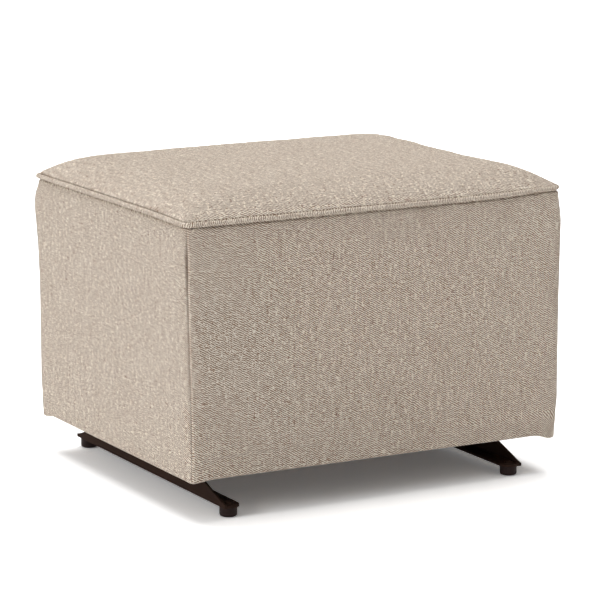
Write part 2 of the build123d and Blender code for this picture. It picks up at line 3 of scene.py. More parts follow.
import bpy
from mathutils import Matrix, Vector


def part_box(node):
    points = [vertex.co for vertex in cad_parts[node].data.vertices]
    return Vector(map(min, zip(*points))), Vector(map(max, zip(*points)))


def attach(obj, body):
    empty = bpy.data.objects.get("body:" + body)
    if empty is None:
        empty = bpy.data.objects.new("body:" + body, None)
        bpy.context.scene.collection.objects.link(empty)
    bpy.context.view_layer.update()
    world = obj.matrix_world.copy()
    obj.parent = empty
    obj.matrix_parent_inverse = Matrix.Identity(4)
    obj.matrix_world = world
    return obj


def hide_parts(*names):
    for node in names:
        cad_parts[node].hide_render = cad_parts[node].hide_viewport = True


bl_info = {
    "name": "Glider Ottoman",
    "version": (1, 0, 0),
    "blender": (4, 5, 0),
    "location": "3D View > Sidebar > Ottoman",
    "description": "Upholsters and finishes the glider ottoman on its CAD frame",
    "category": "Add Mesh",
}

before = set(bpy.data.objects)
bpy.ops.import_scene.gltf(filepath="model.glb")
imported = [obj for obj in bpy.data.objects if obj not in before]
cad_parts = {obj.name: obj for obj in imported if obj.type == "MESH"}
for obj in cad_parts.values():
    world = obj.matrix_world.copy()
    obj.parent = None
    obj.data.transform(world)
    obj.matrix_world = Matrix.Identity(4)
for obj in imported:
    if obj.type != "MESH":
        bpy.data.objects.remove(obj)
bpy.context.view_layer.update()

import math

import bmesh
import bpy
from bpy.props import FloatProperty, FloatVectorProperty, PointerProperty
from mathutils import Matrix, Vector, noise

MM = 0.001
BODY = "ottoman"

HALF_WIDTH = -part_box("cover_left")[0].x
HALF_DEPTH = -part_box("cover_front")[0].y
HEM_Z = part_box("cover_front")[0].z
SEAM_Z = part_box("cover_front")[1].z
DECK_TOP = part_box("deck_board")[1].z
HEM_INNER_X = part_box("cover_right")[0].x
HEM_INNER_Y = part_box("cover_back")[0].y
BOARD_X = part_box("frame_board_right")[1].x
BOARD_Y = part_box("frame_board_back")[1].y


# ------------------------------------------------------------------ settings
def length(name, description, default, **limits):
    """A length in metres that a user may change."""
    return FloatProperty(
        name=name, description=description, default=default, unit="LENGTH", precision=4, **limits
    )


def colour(name, description, srgb):
    """A colour, given as 0 to 255 screen values and kept as linear light."""
    return FloatVectorProperty(
        name=name,
        description=description,
        subtype="COLOR",
        size=3,
        min=0.0,
        max=1.0,
        default=linear(srgb),
    )


def linear(srgb):
    """Screen values, 0 to 255, as linear light."""
    return tuple(
        c / 12.92 if c <= 0.04045 else ((c + 0.055) / 1.055) ** 2.4
        for c in (value / 255 for value in srgb)
    )


class OttomanSizes(bpy.types.PropertyGroup):
    """Sizes of the soft parts."""

    crown_lift: length("Crown lift", "Height of the crown's edge over the welt's underside", 0.0105)
    crown_swell: length("Crown swell", "Rise of the rounded edge of the top", 0.022)
    crown_reach: length("Crown reach", "How far in from the edge the top keeps rising", 0.1215)
    crown_dome: length("Crown dome", "Further rise of the middle of the top", 0.0085)
    fold_radius: length("Hem fold", "Radius of the skirt's bottom fold", 0.0036)
    corner_roll: length("Corner roll", "Width of the rolled edge beside each corner seam", 0.0025)
    cloth: length("Cloth thickness", "Thickness of the cover fabric", 0.0014)
    welt: length("Welt diameter", "Diameter of the covered cord round the top", 0.0069)
    warp_pitch: length("Warp pitch", "Distance between upright yarns", 0.00122)
    weft_pitch: length("Weft pitch", "Distance between level yarns", 0.00074)


class OttomanColours(bpy.types.PropertyGroup):
    """Colours of the finishes."""

    yarn_dark: colour("Dark yarn", "Darkest yarn of the cover", (136, 103, 81))
    yarn_mid: colour("Main yarn", "Most of the cover's yarn", (232, 210, 188))
    yarn_light: colour("Light yarn", "Palest flecks of the cover", (255, 246, 230))
    steel_paint: colour("Steel paint", "Paint of the rails and the mechanism", (50, 36, 30))
    bare_steel: colour("Worn steel", "Paint worn thin along the edges", (112, 100, 92))
    foot_plastic: colour("Foot plastic", "Round glides under the rails", (40, 28, 26))
    pine: colour("Pine", "Frame boards and corner blocks", (205, 170, 122))
    plywood: colour("Plywood", "Deck under the foam", (196, 158, 112))
    zinc: colour("Zinc", "Plated bolts, nuts and screws", (176, 178, 174))
    bearing: colour("Bearing steel", "Races and balls", (190, 192, 196))
    rubber: colour("Rubber", "Travel stops", (34, 33, 33))
    foam: colour("Foam", "Seat foam", (232, 214, 160))
    wadding: colour("Wadding", "Polyester wadding", (236, 235, 230))
    floor: colour("Floor", "Studio floor", (247, 247, 247))


# ------------------------------------------------------------------ node helpers
class Finish:
    """A material under construction."""

    def __init__(self, name):
        self.material = bpy.data.materials.new(name)
        self.material.use_nodes = True
        self.tree = self.material.node_tree
        self.tree.nodes.clear()
        self.output = self.tree.nodes.new("ShaderNodeOutputMaterial")

    def add(self, kind, inputs=None, **settings):
        """One node, with its settings and its inputs: a value is set and a socket is linked."""
        made = self.tree.nodes.new("ShaderNode" + kind)
        for key, value in settings.items():
            setattr(made, key, value)
        for key, value in (inputs or {}).items():
            self.feed(made.inputs[key], value)
        return made

    def feed(self, socket, value):
        if isinstance(value, bpy.types.NodeSocket):
            self.tree.links.new(value, socket)
        else:
            socket.default_value = value

    def maths(self, operation, *values):
        made = self.add("Math", operation=operation)
        for socket, value in zip(made.inputs, values):
            self.feed(socket, value)
        return made.outputs[0]

    def times(self, first, second):
        return self.maths("MULTIPLY", first, second)

    def map(self, value, low, high, to_low=0.0, to_high=1.0):
        """The range from low to high drawn out to another range, and held inside it."""
        made = self.add("MapRange", clamp=True)
        for socket, number in zip(made.inputs, (value, low, high, to_low, to_high)):
            self.feed(socket, number)
        return made.outputs[0]

    def ramp(self, value, *stops):
        """Colours along a value, each stop with its place and its colour."""
        made = self.add("ValToRGB")
        marks = made.color_ramp.elements
        while len(marks) < len(stops):
            marks.new(0.5)
        for mark, (place, tint) in zip(marks, stops):
            mark.position = place
            mark.color = (*tint, 1.0)
        self.feed(made.inputs[0], value)
        return made.outputs[0]

    def mix(self, share, first, second):
        made = self.add("Mix", data_type="RGBA")
        for key, value in (("Factor", share), ("A", first), ("B", second)):
            sockets = [s for s in made.inputs if s.name == key and s.enabled]
            self.feed(sockets[0], value if not isinstance(value, tuple) else (*value, 1.0))
        return [s for s in made.outputs if s.enabled][0]

    def noise(self, where, scale, detail=2.0, rough=0.5, flat=False):
        return self.add(
            "TexNoise",
            {"Vector": where, "Scale": scale, "Detail": detail, "Roughness": rough},
            noise_dimensions="2D" if flat else "3D",
        ).outputs["Fac"]

    def place(self):
        """Object coordinates."""
        return self.add("TexCoord").outputs["Object"]

    def scaled(self, where, scale, turn=(0.0, 0.0, 0.0)):
        inputs = {"Vector": where, "Scale": scale, "Rotation": turn}
        return self.add("Mapping", inputs).outputs[0]

    def join(self, x, y, z=0.0):
        return self.add("CombineXYZ", {0: x, 1: y, 2: z}).outputs[0]

    def split(self, where):
        return self.add("SeparateXYZ", {0: where}).outputs

    def bump(self, height, distance, strength):
        inputs = {"Height": height, "Distance": distance, "Strength": strength}
        return self.add("Bump", inputs).outputs[0]

    def worn_edge(self, radius):
        """Nearly 1 on sharp edges and 0 on flats."""
        rounded = self.add("Bevel", {"Radius": radius}, samples=4).outputs[0]
        true = self.add("NewGeometry").outputs["Normal"]
        facing = self.add("VectorMath", {0: rounded, 1: true}, operation="DOT_PRODUCT")
        return self.map(facing.outputs["Value"], 0.985, 0.86)

    def principled(self, **inputs):
        names = {
            "colour": "Base Color",
            "metallic": "Metallic",
            "roughness": "Roughness",
            "normal": "Normal",
            "sheen": "Sheen Weight",
            "sheen_roughness": "Sheen Roughness",
            "specular": "Specular IOR Level",
        }
        made = self.add("BsdfPrincipled")
        for key, value in inputs.items():
            socket = made.inputs[names[key]]
            if key == "colour" and not isinstance(value, bpy.types.NodeSocket):
                value = (*value, 1.0)
            self.feed(socket, value)
        self.tree.links.new(made.outputs[0], self.output.inputs[0])
        return self.material


# ------------------------------------------------------------------ finishes
def tinted(name, share=1.0):
    """One of the scene's colours, darker or paler by a share."""
    return tuple(share * c for c in getattr(bpy.context.scene.ottoman_colours, name))


def woven_cloth(name, turn=0.0):
    """Beige heathered twill, read from the piece's own UV map in metres."""
    sizes = bpy.context.scene.ottoman_sizes
    f = Finish(name)
    uv = f.add("UVMap", uv_map="weave").outputs[0]
    waver = {"Vector": uv, "Scale": 34.0, "Detail": 2.0, "Roughness": 0.5}
    wander = f.add("TexNoise", waver, noise_dimensions="2D").outputs["Color"]
    drift = f.add("VectorMath", {0: wander, 1: (0.5, 0.5, 0.5)}, operation="SUBTRACT").outputs[0]
    drift = f.add("VectorMath", {0: drift, 3: 0.0024}, operation="SCALE").outputs[0]
    laid = f.add("VectorMath", {0: uv, 1: drift}, operation="ADD").outputs[0]
    if turn:
        laid = f.scaled(laid, (1.0, 1.0, 1.0), (0.0, 0.0, turn))
    across, along, _ = f.split(laid)
    warp = f.maths("DIVIDE", across, sizes.warp_pitch)
    weft = f.maths("DIVIDE", along, sizes.weft_pitch)

    # the twill's slanting wales: two upright yarns float over, then two level ones
    pair_number = f.times(f.maths("FLOOR", f.times(warp, 0.5)), 5.37)
    slip = f.noise(f.join(pair_number, f.times(along, 90.0)), 1.0, 1.0, 0.5, True)
    slip = f.maths("MULTIPLY_ADD", slip, 3.2, f.maths("ADD", warp, weft))
    wale = f.maths("SINE", f.times(slip, math.pi / 2.0))
    warp_round = f.maths("ABSOLUTE", f.maths("SINE", f.times(warp, math.pi)))
    weft_round = f.maths("ABSOLUTE", f.maths("SINE", f.times(weft, math.pi)))
    warp_shows = f.map(wale, -0.35, 0.35)
    body = f.maths("MULTIPLY_ADD", f.maths("ABSOLUTE", wale), 0.5, 0.5)
    warp_height = f.times(f.maths("POWER", warp_round, 0.6), warp_shows)
    weft_shows = f.maths("SUBTRACT", 0.85, warp_shows)
    weft_height = f.times(f.maths("POWER", weft_round, 0.6), weft_shows)
    height = f.times(f.maths("MAXIMUM", warp_height, weft_height), body)

    # heathered yarn: dark and pale fibres change along each yarn and between them
    def cloud(per_across, per_along, detail, rough):
        where = f.join(f.times(across, per_across), f.times(along, per_along))
        return f.noise(where, 1.0, detail, rough, True)

    warp_number = f.times(f.maths("FLOOR", f.times(warp, 0.6)), 3.71)
    streak = f.noise(f.join(warp_number, f.times(along, 28.0)), 1.0, 2.0, 0.6, True)
    slub = cloud(130.0, 75.0, 2.0, 0.6)
    thick_weft = cloud(150.0, 330.0, 1.0, 0.5)
    fleck = cloud(340.0, 480.0, 1.0, 0.5)
    contrast = f.map(cloud(200.0, 90.0, 2.0, 0.6), 0.36, 0.64, 0.35, 1.0)
    tone = 0.6
    for value, share in ((streak, 1.15), (slub, 0.35), (thick_weft, 1.8), (fleck, 2.2)):
        tone = f.maths("MULTIPLY_ADD", f.maths("SUBTRACT", value, 0.5), share, tone)
    tone = f.maths("MULTIPLY_ADD", f.times(wale, contrast), -1.6, tone)
    # painted shade: the yarns' crowns are paler and the hollows between the yarns darker, following
    # the weave's relief
    tone = f.maths("MULTIPLY_ADD", f.maths("SUBTRACT", height, 0.5), 0.25, tone)
    stops = ((0.12, "yarn_dark"), (0.50, "yarn_mid"), (0.88, "yarn_light"))
    tint = f.ramp(tone, *((place, tinted(yarn)) for place, yarn in stops))
    # painted shade: the seam_shade attribute darkens the cloth's colour towards dark yarn along the
    # corner seams, in place of the shade in the seam's groove
    seam = f.add("Attribute", attribute_name="seam_shade").outputs["Fac"]
    tint = f.mix(f.times(seam, 0.85), tint, tinted("yarn_dark", 0.4))
    fibres = f.noise(laid, 2600.0, 2.0, 0.6, True)
    relief = f.maths("MULTIPLY_ADD", fibres, 0.25, height)
    normal = f.bump(relief, 0.0006, 1.0)
    return f.principled(
        colour=tint, roughness=0.92, normal=normal, sheen=0.12, sheen_roughness=0.45, specular=0.2
    )


def painted_steel():
    """Dark brown powder coat, a little orange-peeled, thinner along the edges."""
    f = Finish("dark_brown_paint")
    where = f.place()
    cloud = f.noise(where, 22.0, 4.0, 0.6)
    grain = f.noise(where, 900.0, 2.0, 0.5)
    base = f.mix(f.map(cloud, 0.35, 0.7), tinted("steel_paint", 0.82), tinted("steel_paint", 1.18))
    patches = f.map(f.noise(where, 60.0, 5.0, 0.7), 0.46, 0.64)
    rub = f.times(f.worn_edge(0.0009), patches)
    tint = f.mix(f.times(rub, 0.55), base, tinted("bare_steel"))
    return f.principled(
        colour=tint,
        roughness=f.map(cloud, 0.3, 0.7, 0.56, 0.68),
        normal=f.bump(grain, 0.00012, 0.6),
        specular=0.02,
    )


def moulded_plastic():
    """Brown moulded plastic with fine spark texture and scuffs."""
    f = Finish("brown_plastic")
    where = f.place()
    spark = f.noise(where, 1800.0, 2.0, 0.5)
    scuff = f.map(f.noise(f.scaled(where, (140.0, 140.0, 900.0)), 1.0, 3.0, 0.6), 0.62, 0.78)
    tint = f.mix(f.times(scuff, 0.3), tinted("foot_plastic"), tinted("foot_plastic", 2.6))
    return f.principled(
        colour=tint,
        roughness=f.map(spark, 0.3, 0.7, 0.42, 0.58),
        normal=f.bump(spark, 0.00008, 0.7),
        specular=0.12,
    )


def metal(name, tint, rough_low, rough_high, scratch):
    """Bare or plated metal with fine handling marks."""
    f = Finish(name)
    where = f.place()
    cloud = f.noise(where, 130.0, 4.0, 0.6)
    lines = f.noise(f.scaled(where, (2600.0, 900.0, 300.0)), 1.0, 2.0, 0.5)
    dull, bright = tuple(0.84 * c for c in tint), tuple(min(1.0, 1.06 * c) for c in tint)
    shade = f.mix(f.map(cloud, 0.3, 0.7), dull, bright)
    return f.principled(
        colour=shade,
        metallic=1.0,
        roughness=f.map(cloud, 0.3, 0.7, rough_low, rough_high),
        normal=f.bump(lines, scratch, 0.5),
    )


def rubber():
    """Black moulded rubber, finely speckled."""
    f = Finish("stop_rubber_moulded")
    where = f.place()
    speck = f.noise(where, 1500.0, 3.0, 0.6)
    tint = f.mix(f.map(speck, 0.4, 0.7), tinted("rubber"), tinted("rubber", 1.7))
    normal = f.bump(speck, 0.0001, 0.8)
    return f.principled(colour=tint, roughness=0.82, normal=normal, specular=0.3)


def sawn_wood(name, tint, grain_axis, rings):
    """Wood with its grain along one axis: rings drawn out along the board, and pores."""
    f = Finish(name)
    where = f.place()
    across, drawn = 46.0, 1.6
    scale = [across, across, across]
    scale["xyz".index(grain_axis)] = drawn
    laid = f.scaled(where, tuple(scale))
    wander = f.noise(laid, 0.9, 3.0, 0.55)
    bands = f.maths("SINE", f.times(wander, rings))
    pores = f.noise(f.scaled(where, tuple(12.0 * s for s in scale)), 1.0, 3.0, 0.65)
    early = tuple(tint)
    late = tuple(c * k for c, k in zip(tint, (0.66, 0.56, 0.46)))
    shade = f.mix(f.map(bands, -0.4, 1.0), early, late)
    pitted = f.times(f.map(pores, 0.5, 0.75), 0.35)
    shade = f.mix(pitted, shade, tuple(0.5 * c for c in late))
    relief = f.maths("MULTIPLY_ADD", pores, -0.6, f.times(bands, 0.2))
    return f.principled(
        colour=shade,
        roughness=f.map(pores, 0.3, 0.7, 0.6, 0.78),
        normal=f.bump(relief, 0.0002, 0.6),
        specular=0.3,
    )


def open_cell_foam():
    """Yellowish foam with small open cells."""
    f = Finish("seat_foam")
    where = f.place()
    cells = f.add("TexVoronoi", {"Vector": where, "Scale": 520.0}).outputs["Distance"]
    cloud = f.noise(where, 30.0, 3.0, 0.5)
    # painted shade: the cells' hollows are darker, following the same cells that the bump sinks
    tint = f.mix(f.map(cells, 0.1, 0.5), tinted("foam", 0.7), tinted("foam"))
    tint = f.mix(f.times(cloud, 0.2), tint, tinted("foam", 0.85))
    normal = f.bump(cells, 0.0006, 0.8)
    return f.principled(colour=tint, roughness=0.95, normal=normal, specular=0.1)


def fibre_wadding():
    """White tangled fibres."""
    f = Finish("polyester_wadding")
    where = f.place()
    tangle = f.noise(f.scaled(where, (300.0, 300.0, 120.0)), 1.0, 5.0, 0.75)
    # painted shade: the white fibres are darker where the tangle sinks, following the same noise as
    # the bump
    tint = f.mix(f.map(tangle, 0.35, 0.65), tinted("wadding", 0.8), tinted("wadding"))
    return f.principled(
        colour=tint, roughness=0.9, normal=f.bump(tangle, 0.0012, 0.7), sheen=0.3, specular=0.1
    )


def studio_floor():
    """Pale floor: it keeps the shadow, and the camera sees the open floor as white."""
    f = Finish("studio_floor")
    tint = tinted("floor")
    path = f.add("LightPath").outputs
    seen = f.maths("MAXIMUM", path["Is Camera Ray"], path["Is Glossy Ray"])
    seen = f.maths("MAXIMUM", seen, path["Is Transmission Ray"])
    diffuse = f.add("BsdfDiffuse", {"Color": (*tint, 1.0)}).outputs[0]
    extra = {k: f.times(seen, 0.55) for k in range(3)}
    brighter = f.add("CombineColor", extra).outputs[0]
    more = f.add("BsdfDiffuse", {"Color": brighter}).outputs[0]
    lift = f.add(
        "Emission", {"Color": (1.0, 1.0, 1.0, 1.0), "Strength": f.times(seen, 0.065)}
    ).outputs[0]
    whole = f.add("AddShader", {0: diffuse, 1: more}).outputs[0]
    whole = f.add("AddShader", {0: whole, 1: lift}).outputs[0]
    f.tree.links.new(whole, f.output.inputs[0])
    return f.material


# ------------------------------------------------------------------ shared shapes
def smooth_step(value, low, high):
    """0 up to low, 1 from high on, and an even curve between them."""
    t = min(1.0, max(0.0, (value - low) / (high - low)))
    return t * t * (3.0 - 2.0 * t)


def hump(value, centre, width):
    """A bell curve: 1 at its centre, and 0.37 at its width."""
    return math.exp(-(((value - centre) / width) ** 2))


FADE = 65.0 * MM  # how far under its centre a bulge dies away


def lopsided(below, centre):
    """A hump that rises quickly under the seam and dies away slowly."""
    return hump(below, centre, 0.6 * centre if below < centre else FADE)


def ripple(*where):
    """Soft wander between -1 and 1, the same each run."""
    point = Vector((list(where) + [0.0, 0.0])[:3])
    return noise.noise(point) + 0.5 * noise.noise(point * 2.3 + Vector((7.1, 3.7, 1.9)))


def finish_piece(bm, name, material):
    """Turn a bmesh into a smooth piece of one material."""
    mesh = bpy.data.meshes.new(name)
    bm.to_mesh(mesh)
    bm.free()
    piece = bpy.data.objects.new(name, mesh)
    bpy.context.scene.collection.objects.link(piece)
    mesh.materials.append(material)
    for face in mesh.polygons:
        face.use_smooth = True
    return piece


def thicken(piece, thickness):
    """Give a sheet its wall, inwards from the outer face."""
    wall = piece.modifiers.new("wall", "SOLIDIFY")
    wall.thickness = thickness
    wall.offset = -1.0
    wall.use_even_offset = False


SETTLE_FRAMES = 20


def settle(piece, sewn, pressure, ease, limit):
    """Let the cloth, cut larger by ease, settle between its sewn points, each within the limit."""
    group = piece.vertex_groups.new(name="sewn")
    group.add(sewn, 1.0, "REPLACE")
    before = [v.co.copy() for v in piece.data.vertices]
    cloth = piece.modifiers.new("settle", "CLOTH")
    cloth.settings.quality = 5
    cloth.settings.mass = 0.25
    cloth.settings.tension_stiffness = 22.0
    cloth.settings.compression_stiffness = 12.0
    cloth.settings.shear_stiffness = 8.0
    cloth.settings.bending_stiffness = 1.2
    cloth.settings.vertex_group_mass = group.name
    cloth.settings.use_pressure = True
    cloth.settings.uniform_pressure_force = pressure
    cloth.settings.shrink_min = -ease
    cloth.settings.effector_weights.gravity = 0.0
    cloth.collision_settings.use_collision = False
    cloth.point_cache.frame_start = 1
    cloth.point_cache.frame_end = SETTLE_FRAMES
    scene = bpy.context.scene
    for number in range(1, SETTLE_FRAMES + 1):
        scene.frame_set(number)
    shape = piece.evaluated_get(bpy.context.evaluated_depsgraph_get()).data
    after = [v.co.copy() for v in shape.vertices]
    piece.modifiers.remove(cloth)
    piece.vertex_groups.remove(group)
    for vertex, old, new in zip(piece.data.vertices, before, after):
        step = new - old
        if step.length > limit:
            step *= limit / step.length
        vertex.co = old + step
    scene.frame_set(1)


# ------------------------------------------------------------------ top
CROWN_POWER = 5.4  # how soon the top flattens out behind its rounded edge
LIFT, LIFT_REACH = 4.0 * MM, 72.0 * MM
LEAN, LEAN_REACH = 5.0 * MM, 75.0 * MM
LEAN_LOW, LEAN_HIGH = 0.08, SEAM_Z - 20.0 * MM


def corner_lift(x, y):
    """The front right corner of the seam sits a little high."""
    distance = math.hypot(x - HALF_WIDTH, y + HALF_DEPTH)
    return LIFT * hump(distance, 0.0, LIFT_REACH)


def lean_out(point):
    """The front left corner leans out to the left towards the top."""
    distance = math.hypot(point.x + HALF_WIDTH, point.y + HALF_DEPTH)
    lean = LEAN * hump(distance, 0.0, LEAN_REACH) * smooth_step(point.z, LEAN_LOW, LEAN_HIGH)
    return Vector((point.x - lean, point.y, point.z))


def crown_height(x, y, inset=0.0):
    """Height of the crowned top over the floor, inside an edge pulled in by inset."""
    sizes = bpy.context.scene.ottoman_sizes
    wide, deep = HALF_WIDTH - inset, HALF_DEPTH - inset

    def rise(gap):
        return 1.0 - (1.0 - min(1.0, max(0.0, gap) / sizes.crown_reach)) ** CROWN_POWER

    swell = sizes.crown_swell * rise(wide - abs(x)) * rise(deep - abs(y))
    dome = sizes.crown_dome * (1.0 - (x / wide) ** 2) * (1.0 - (y / deep) ** 2)
    return SEAM_Z + sizes.crown_lift + swell + max(0.0, dome) + 0.5 * corner_lift(x, y)


def cut_place(point):
    """Where a point of the top lies on its flat cut, which is longer than its plan."""
    sizes = bpy.context.scene.ottoman_sizes
    reach, steps = sizes.crown_reach, 16

    def stretched(place, half):
        gap = min(reach, max(0.0, half - abs(place)))
        extra = 0.0
        for k in range(steps):
            share = 1.0 - (gap + (reach - gap) * (k + 0.5) / steps) / reach
            slope = sizes.crown_swell * CROWN_POWER / reach * share ** (CROWN_POWER - 1.0)
            extra += (math.hypot(1.0, slope) - 1.0) * (reach - gap) / steps
        return place + math.copysign(extra, place)

    return stretched(point.x, HALF_WIDTH), stretched(point.y, HALF_DEPTH)


def denser_edge(place):
    """Moves the stations of an even grid (-1 to 1) closer together near its ends."""
    share, reach = 0.8, 0.06
    gap = 1.0 - abs(place)
    bunched = share * reach
    gap = (gap - bunched * (1.0 - math.exp(-gap / reach))) / (1.0 - bunched)
    return math.copysign(1.0 - gap, place)


def crowned_grid(columns, rows, inset, corner):
    """A grid laid over the top, with rounded corners and its flat cut kept as UVs."""
    bm = bmesh.new()
    bmesh.ops.create_grid(bm, x_segments=columns, y_segments=rows, size=1.0)
    wide, deep = HALF_WIDTH - inset, HALF_DEPTH - inset
    for vertex in bm.verts:
        vertex.co = (denser_edge(vertex.co.x) * wide, denser_edge(vertex.co.y) * deep, 0.0)
    weave = bm.loops.layers.uv.new("weave")
    cut = {vertex: cut_place(vertex.co) for vertex in bm.verts}
    for face in bm.faces:
        for loop in face.loops:
            loop[weave].uv = cut[loop.vert]
    for vertex in bm.verts:
        x, y = vertex.co.x, vertex.co.y
        over_x, over_y = abs(x) - (wide - corner), abs(y) - (deep - corner)
        if over_x > 0.0 and over_y > 0.0:
            shrink = max(over_x, over_y) / math.hypot(over_x, over_y)
            x = math.copysign(wide - corner + over_x * shrink, x)
            y = math.copysign(deep - corner + over_y * shrink, y)
        vertex.co = (x, y, 0.0)
    return bm


def edge_gap(x, y, inset, corner):
    """How far a point of the top lies inside the rounded edge."""
    wide, deep = HALF_WIDTH - inset, HALF_DEPTH - inset
    over_x, over_y = abs(x) - (wide - corner), abs(y) - (deep - corner)
    if over_x > 0.0 and over_y > 0.0:
        return corner - math.hypot(over_x, over_y)
    return min(wide - abs(x), deep - abs(y))


# how far each ring of the top's edge goes down, and how far in, to tuck it behind the cord
TUCK_RINGS = (
    (0.4 * MM, 0.3 * MM),
    (0.5 * MM, 0.7 * MM),
    (1.4 * MM, 1.0 * MM),
    (2.2 * MM, 1.2 * MM),
)


def seat_shape():
    """The crowned top: its lip at the cord, its puckers and its soft unevenness."""
    inset, corner = 0.2 * MM, 8.0 * MM
    bm = crowned_grid(114, 94, inset, corner)
    for vertex in bm.verts:
        x, y = vertex.co.x, vertex.co.y
        gap = edge_gap(x, y, inset, corner)
        lip = 2.6 * MM * hump(gap, 0.0, 2.2 * MM)
        pucker = 0.2 * MM * ripple(62.0 * x, 62.0 * y, 4.0) * math.exp(-gap / (14.0 * MM))
        soft = 0.6 * MM * ripple(9.0 * x, 9.0 * y, 9.0) * smooth_step(gap, 0.0, 30.0 * MM)
        vertex.co.z = crown_height(x, y, inset) - lip + pucker + soft
    rim = [edge for edge in bm.edges if edge.is_boundary]
    weave = bm.loops.layers.uv["weave"]
    for down, inwards in TUCK_RINGS:
        grown = bmesh.ops.extrude_edge_only(bm, edges=rim)["geom"]
        moved = [g for g in grown if isinstance(g, bmesh.types.BMVert)]
        for vertex in moved:
            reach = math.hypot(vertex.co.x / HALF_WIDTH, vertex.co.y / HALF_DEPTH)
            away = Vector((vertex.co.x / HALF_WIDTH**2, vertex.co.y / HALF_DEPTH**2, 0.0))
            # the front's tuck is shallower
            closed = 1.0 - 0.7 * smooth_step(-vertex.co.y / HALF_DEPTH, 0.96, 1.0)
            vertex.co -= away.normalized() * inwards * closed * min(1.0, reach)
            vertex.co.z -= down
        rim = [e for e in bm.edges if e.is_boundary]
        for face in {f for v in moved for f in v.link_faces}:
            for loop in face.loops:
                if loop.vert in moved:
                    loop[weave].uv = cut_place(loop.vert.co)
    bmesh.ops.recalc_face_normals(bm, faces=bm.faces)
    if max(bm.faces, key=lambda face: face.calc_center_median().z).normal.z < 0:
        bmesh.ops.reverse_faces(bm, faces=bm.faces)
    for vertex in bm.verts:
        vertex.co = lean_out(vertex.co)
    return bm


def foam_shape():
    """The foam: the top's shape a little lower and smaller, with sides down to the deck."""
    inset, corner = 6.0 * MM, 9.0 * MM
    bm = crowned_grid(56, 46, inset, corner)
    for vertex in bm.verts:
        x, y = vertex.co.x, vertex.co.y
        lip = 4.0 * MM * hump(edge_gap(x, y, inset, corner), 0.0, 5.0 * MM)
        vertex.co.z = crown_height(x, y, inset) - 5.0 * MM - lip
    rim = [edge for edge in bm.edges if edge.is_boundary]
    for level in (SEAM_Z - 12.0 * MM, DECK_TOP + 6.0 * MM, DECK_TOP + 0.3 * MM):
        grown = bmesh.ops.extrude_edge_only(bm, edges=rim)["geom"]
        for vertex in (g for g in grown if isinstance(g, bmesh.types.BMVert)):
            vertex.co.z = level
        rim = [e for e in bm.edges if e.is_boundary]
    bmesh.ops.contextual_create(bm, geom=rim)
    bmesh.ops.recalc_face_normals(bm, faces=bm.faces)
    return bm


class OTTOMAN_OT_seat(bpy.types.Operator):
    """Make the crowned top cover and the foam under it"""

    bl_idname = "ottoman.seat"
    bl_label = "Top cover and foam"

    def execute(self, context):
        sizes = context.scene.ottoman_sizes
        cover = finish_piece(seat_shape(), "seat_cover", woven_cloth("cover_cloth_top"))
        sewn = [
            v.index
            for v in cover.data.vertices
            if v.co.z < SEAM_Z + sizes.crown_lift + 0.5 * corner_lift(v.co.x, v.co.y) - 2.5 * MM
        ]
        settle(cover, sewn, 1.2, 0.004, 1.6 * MM)
        thicken(cover, sizes.cloth)
        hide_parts("cover_top")
        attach(cover, BODY)

        foam = finish_piece(foam_shape(), "seat_foam_block", open_cell_foam())
        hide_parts("foam_pad")
        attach(foam, BODY)
        return {"FINISHED"}


# ------------------------------------------------------------------ skirt
class Panel:
    """One side of the skirt: where it faces, how long it is and how full it is at its ends."""

    def __init__(self, name, facing, half_length, distance, droops, fullness, bulges):
        """droops, fullness and bulges are for the two ends, the left one first as seen outside."""
        self.name = name
        self.sideways = facing[0] != 0
        self.out = Vector((*facing, 0.0))
        self.run = Vector((-facing[1], facing[0], 0.0))
        self.half_length = half_length
        self.distance = distance
        self.droops = droops
        self.fullness = fullness
        self.bulges = bulges

    def to_world(self, along, outward, z):
        return self.run * along + self.out * outward + Vector((0.0, 0.0, z))


# how much each corner bulges under the welt, and how far under it, in millimetres
BACK_LEFT, FRONT_LEFT, FRONT_RIGHT, BACK_RIGHT = (3.2, 25.0), (0.8, 40.0), (0.2, 46.0), (1.6, 45.0)
LONG, SHORT = (HALF_WIDTH, HALF_DEPTH), (HALF_DEPTH, HALF_WIDTH)
PANELS = (
    Panel("left", (-1, 0), *SHORT, (6.4, 2.5), (1.8, 1.8), (BACK_LEFT, FRONT_LEFT)),
    Panel("front", (0, -1), *LONG, (2.5, 6.4), (1.8, 2.6), (FRONT_LEFT, FRONT_RIGHT)),
    Panel("right", (1, 0), *SHORT, (6.4, 2.5), (2.6, 2.4), (FRONT_RIGHT, BACK_RIGHT)),
    Panel("back", (0, 1), *LONG, (2.5, 6.4), (2.4, 1.8), (BACK_RIGHT, BACK_LEFT)),
)
FACE_BACK = 0.2 * MM  # the flat face lies this far behind the CAD cover's face
CORNER_REACH = 70.0 * MM  # how far from a corner its fullness and its bulge are felt
CORNER_CURVE = 26.0 * MM  # how far from a corner the side starts to curve in
PADDING_BACK = 10.0 * MM  # the wadding ends this far before the corner
LIFT_DEPTH = 80.0 * MM  # how far under the seam the lifted corner pulls the cloth
HEM_SAG = {"left": 1.8 * MM, "right": 0.4 * MM, "back": 0.4 * MM}  # between the corners
EDGE_BAND = 0.04  # how far from each corner the grid is finer
CLOTH_STEP = 0.31  # sets the sides' cuts apart on the cloth, in metres
SIDE_SHADE, END_SHADE = 3.0 * MM, 0.35 * MM  # width of the painted seam shade beside each corner seam


class Corner:
    """How a side cover ends at a corner seam."""

    def __init__(self, back, depth, width, soft):
        """How far back it ends, its groove's depth and width, and how far the side curves in."""
        self.back, self.depth = back * MM, depth * MM
        self.width, self.soft = width * MM, soft * MM


PLAIN_CORNER = Corner(0.7, 3.4, 1.1, 0.4)
